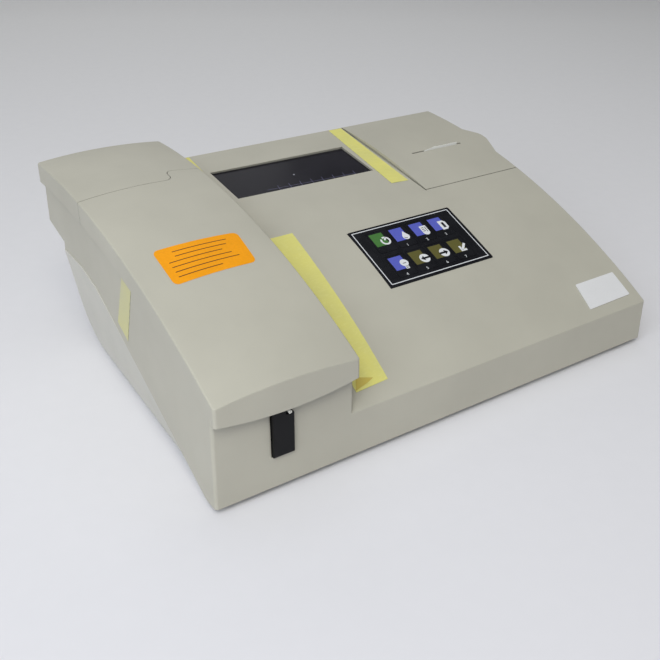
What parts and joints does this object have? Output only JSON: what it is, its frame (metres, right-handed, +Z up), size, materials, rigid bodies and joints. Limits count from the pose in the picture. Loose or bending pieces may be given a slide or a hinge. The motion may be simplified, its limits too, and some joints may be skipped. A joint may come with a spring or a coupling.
{
  "type": "semi-automatic chemistry analyzer",
  "caption": "Bench chemistry analyzer with a hinged sample lid, sipper trigger, sloping panel with display and keypad, and a thermal printer under its own lid",
  "frame": {"origin": "on the table under the middle of the analyzer's bounding box", "axes": "+X to the right, along the keypad rows; +Y to the rear; +Z up"},
  "size_m": [0.4066, 0.3032, 0.1505],
  "materials": {
    "housing_plastic": "fine textured warm grey moulding",
    "shell_plastic": "fine textured pale grey moulding",
    "inner_plastic": "plain grey moulding",
    "black_plastic": "satin black moulding",
    "keypad_film": "glossy printed film",
    "white_plastic": "white nozzle",
    "rubber": "soft black rubber",
    "screen_glass": "dark display window",
    "lens_glass": "optical filter glass",
    "display": "liquid crystal module",
    "board": "green circuit board",
    "steel": "turned steel",
    "aluminium": "anodised aluminium",
    "black_aluminium": "black anodised aluminium",
    "lamp": "quartz capsule on its base",
    "tube": "silicone tube",
    "gear_plastic": "white moulded gear",
    "platen_rubber": "ground rubber roller",
    "paper": "thermal paper"
  },
  "bodies": {
    "root": {"base_screws": "steel", "cell_block": "black_aluminium", "compartment_tray": "inner_plastic", "detector_board": "board", "fan_housing": "black_plastic", "feet": "rubber", "filter_motor": "steel", "halogen_lamp": "lamp", "keypad_board": "board", "keypad_overlay": "keypad_film", "lamp_housing": "aluminium", "lcd_module": "display", "lens_tube": "black_aluminium", "lid_hinge_pin": "steel", "lower_shell": "shell_plastic", "main_board": "board", "mains_inlet": "black_plastic", "optical_bench": "aluminium", "pod_rear_cover": "housing_plastic", "power_supply": "aluminium", "power_switch_frame": "black_plastic", "print_head": "aluminium", "printer_frame": "black_plastic", "printer_hinge_pins": "steel", "printer_motor": "steel", "pump_head": "gear_plastic", "pump_motor": "steel", "pump_tube": "tube", "sample_tube": "tube", "screen_window": "screen_glass", "serial_port": "steel", "sipper_nozzle": "white_plastic", "trigger_bracket": "black_plastic", "trigger_switch": "black_plastic", "upper_housing": "housing_plastic", "waste_fitting": "gear_plastic"},
    "front_lid": {"front_lid": "housing_plastic", "lid_arms": "inner_plastic"},
    "printer_lid": {"printer_lid": "housing_plastic"},
    "trigger": {"trigger_plate": "black_plastic"},
    "pump_rotor": {"pump_rotor": "inner_plastic"},
    "filter_wheel": {"filter_wheel": "black_aluminium", "filter_glasses": "lens_glass"},
    "platen": {"platen_roller": "platen_rubber"},
    "feed_gear": {"feed_gear": "gear_plastic"},
    "motor_pinion": {"motor_pinion": "gear_plastic"},
    "paper_roll": {"paper_roll": "paper"},
    "power_rocker": {"power_rocker": "black_plastic"},
    "fan_rotor": {"fan_rotor": "black_plastic"},
    "key_power": {"key_power": "keypad_film"},
    "key_drop": {"key_drop": "keypad_film"},
    "key_vial": {"key_vial": "keypad_film"},
    "key_sheet": {"key_sheet": "keypad_film"},
    "key_lamp": {"key_lamp": "keypad_film"},
    "key_back": {"key_back": "keypad_film"},
    "key_forward": {"key_forward": "keypad_film"},
    "key_enter": {"key_enter": "keypad_film"},
    "pump_roller_1": {"pump_roller_1": "gear_plastic"},
    "pump_roller_2": {"pump_roller_2": "gear_plastic"},
    "pump_roller_3": {"pump_roller_3": "gear_plastic"}
  },
  "joints": [
    {"name": "front_lid_hinge", "type": "hinge", "parent": "root", "child": "front_lid", "pos_m": [-0.15075, 0.0861, 0.14098], "axis": [-1, 0, 0], "range_deg": [0, 75]},
    {"name": "printer_lid_hinge", "type": "hinge", "parent": "root", "child": "printer_lid", "pos_m": [0.14175, 0.13911, 0.122], "axis": [-1, 0, 0], "range_deg": [0, 80]},
    {"name": "trigger_hinge", "type": "hinge", "parent": "root", "child": "trigger", "pos_m": [-0.1536, -0.139, 0.069], "axis": [1, 0, 0], "range_deg": [0, 3.5], "stiffness_Nm_per_rad": 0.05, "springref_deg": -8.59},
    {"name": "filter_wheel_spin", "type": "hinge", "parent": "root", "child": "filter_wheel", "pos_m": [-0.15225, 0.0556, 0.045], "axis": [0, 1, 0], "continuous": true},
    {"name": "pump_spin", "type": "hinge", "parent": "root", "child": "pump_rotor", "pos_m": [-0.12725, 0.0036, 0.069], "axis": [0, 0, 1], "continuous": true},
    {"name": "platen_spin", "type": "hinge", "parent": "root", "child": "platen", "pos_m": [0.14175, 0.0681, 0.108], "axis": [1, 0, 0], "continuous": true},
    {"name": "feed_gear_spin", "type": "hinge", "parent": "root", "child": "feed_gear", "pos_m": [0.17555, 0.06515, 0.09126], "axis": [1, 0, 0], "continuous": true},
    {"name": "motor_pinion_spin", "type": "hinge", "parent": "root", "child": "motor_pinion", "pos_m": [0.17555, 0.05326, 0.08055], "axis": [1, 0, 0], "continuous": true},
    {"name": "paper_roll_spin", "type": "hinge", "parent": "root", "child": "paper_roll", "pos_m": [0.14175, 0.0876, 0.089], "axis": [1, 0, 0], "continuous": true},
    {"name": "power_rocker_hinge", "type": "hinge", "parent": "root", "child": "power_rocker", "pos_m": [0.03975, 0.1056, 0.063], "axis": [1, 0, 0], "range_deg": [-16, 0]},
    {"name": "fan_spin", "type": "hinge", "parent": "root", "child": "fan_rotor", "pos_m": [-0.06825, 0.1026, 0.062], "axis": [0, 1, 0], "continuous": true},
    {"name": "key_power_press", "type": "slide", "parent": "root", "child": "key_power", "axis": [0, 0.3557, -0.9346], "range_m": [0, 0.0005], "stiffness_N_per_m": 400, "springref_m": -0.0005},
    {"name": "key_drop_press", "type": "slide", "parent": "root", "child": "key_drop", "axis": [0, 0.3557, -0.9346], "range_m": [0, 0.0005], "stiffness_N_per_m": 400, "springref_m": -0.0005},
    {"name": "key_vial_press", "type": "slide", "parent": "root", "child": "key_vial", "axis": [0, 0.3557, -0.9346], "range_m": [0, 0.0005], "stiffness_N_per_m": 400, "springref_m": -0.0005},
    {"name": "key_sheet_press", "type": "slide", "parent": "root", "child": "key_sheet", "axis": [0, 0.3557, -0.9346], "range_m": [0, 0.0005], "stiffness_N_per_m": 400, "springref_m": -0.0005},
    {"name": "key_lamp_press", "type": "slide", "parent": "root", "child": "key_lamp", "axis": [0, 0.3557, -0.9346], "range_m": [0, 0.0005], "stiffness_N_per_m": 400, "springref_m": -0.0005},
    {"name": "key_back_press", "type": "slide", "parent": "root", "child": "key_back", "axis": [0, 0.3557, -0.9346], "range_m": [0, 0.0005], "stiffness_N_per_m": 400, "springref_m": -0.0005},
    {"name": "key_forward_press", "type": "slide", "parent": "root", "child": "key_forward", "axis": [0, 0.3557, -0.9346], "range_m": [0, 0.0005], "stiffness_N_per_m": 400, "springref_m": -0.0005},
    {"name": "key_enter_press", "type": "slide", "parent": "root", "child": "key_enter", "axis": [0, 0.3557, -0.9346], "range_m": [0, 0.0005], "stiffness_N_per_m": 400, "springref_m": -0.0005},
    {"name": "pump_roller_1_spin", "type": "hinge", "parent": "pump_rotor", "child": "pump_roller_1", "pos_m": [-0.12725, 0.0146, 0.069], "axis": [0, 0, 1], "continuous": true},
    {"name": "pump_roller_2_spin", "type": "hinge", "parent": "pump_rotor", "child": "pump_roller_2", "pos_m": [-0.13678, -0.0019, 0.069], "axis": [0, 0, 1], "continuous": true},
    {"name": "pump_roller_3_spin", "type": "hinge", "parent": "pump_rotor", "child": "pump_roller_3", "pos_m": [-0.11772, -0.0019, 0.069], "axis": [0, 0, 1], "continuous": true}
  ],
  "couplings": [
    {"joint": "feed_gear_spin", "follows": "platen_spin", "ratio": -0.54546},
    {"joint": "motor_pinion_spin", "follows": "platen_spin", "ratio": 1.2},
    {"joint": "paper_roll_spin", "follows": "platen_spin", "ratio": 0.30556},
    {"joint": "pump_roller_1_spin", "follows": "pump_spin", "ratio": -3.8947},
    {"joint": "pump_roller_2_spin", "follows": "pump_spin", "ratio": -3.8947},
    {"joint": "pump_roller_3_spin", "follows": "pump_spin", "ratio": -3.8947}
  ]
}
